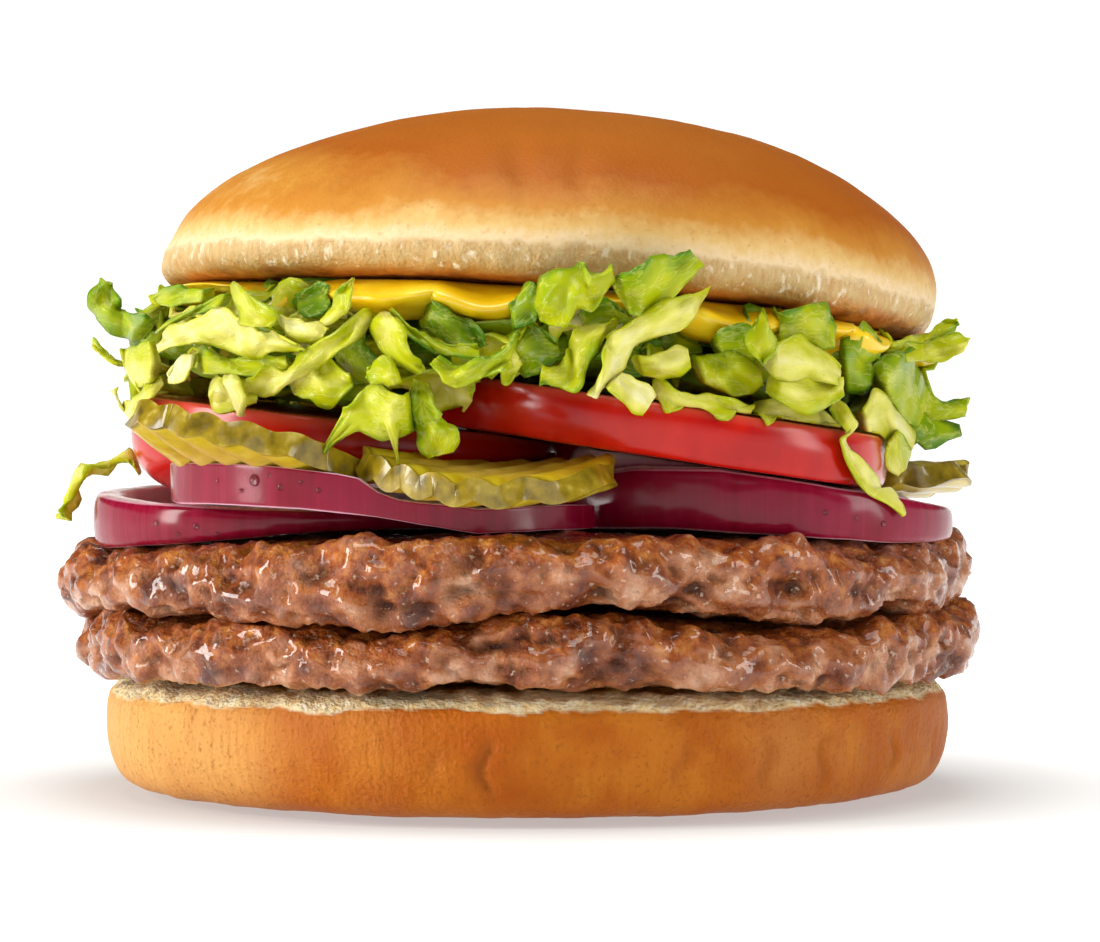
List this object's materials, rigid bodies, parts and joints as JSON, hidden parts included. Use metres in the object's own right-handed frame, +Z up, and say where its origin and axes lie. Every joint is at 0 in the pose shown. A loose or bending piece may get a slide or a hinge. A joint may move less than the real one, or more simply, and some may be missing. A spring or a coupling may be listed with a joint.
{
  "type": "double hamburger",
  "caption": "Stacked double hamburger: plain domed bun, mustard, shredded lettuce, tomato, crinkle-cut pickles and red onion over thin beef patties.",
  "frame": {"origin": "middle of the bottom bun's flat foot, where the burger rests", "axes": "+X to the right as served, -Y towards the front of the burger, +Z up through the stack"},
  "size_m": [0.1167, 0.1155, 0.0854],
  "materials": {
    "bun crust": "baked, soft matt crust",
    "seared beef": "coarse, browned, with a wet sheen",
    "tomato": "wet, glossy skin",
    "red onion": "wet, glossy skin with pale cut faces",
    "pickle": "wet, olive skin and yellow flesh",
    "lettuce": "thin, crisp leaf",
    "mustard": "thick, glossy sauce"
  },
  "bodies": {
    "root": {"bottom_bun": "bun crust", "patty_lower": "seared beef", "patty_upper": "seared beef", "onion_left": "red onion", "onion_middle": "red onion", "onion_right": "red onion", "onion_back": "red onion", "tomato_left": "tomato", "tomato_right": "tomato", "tomato_back": "tomato", "pickle_left": "pickle", "pickle_middle": "pickle", "pickle_right": "pickle", "lettuce": "lettuce", "mustard": "mustard", "top_bun": "bun crust"}
  },
  "joints": []
}
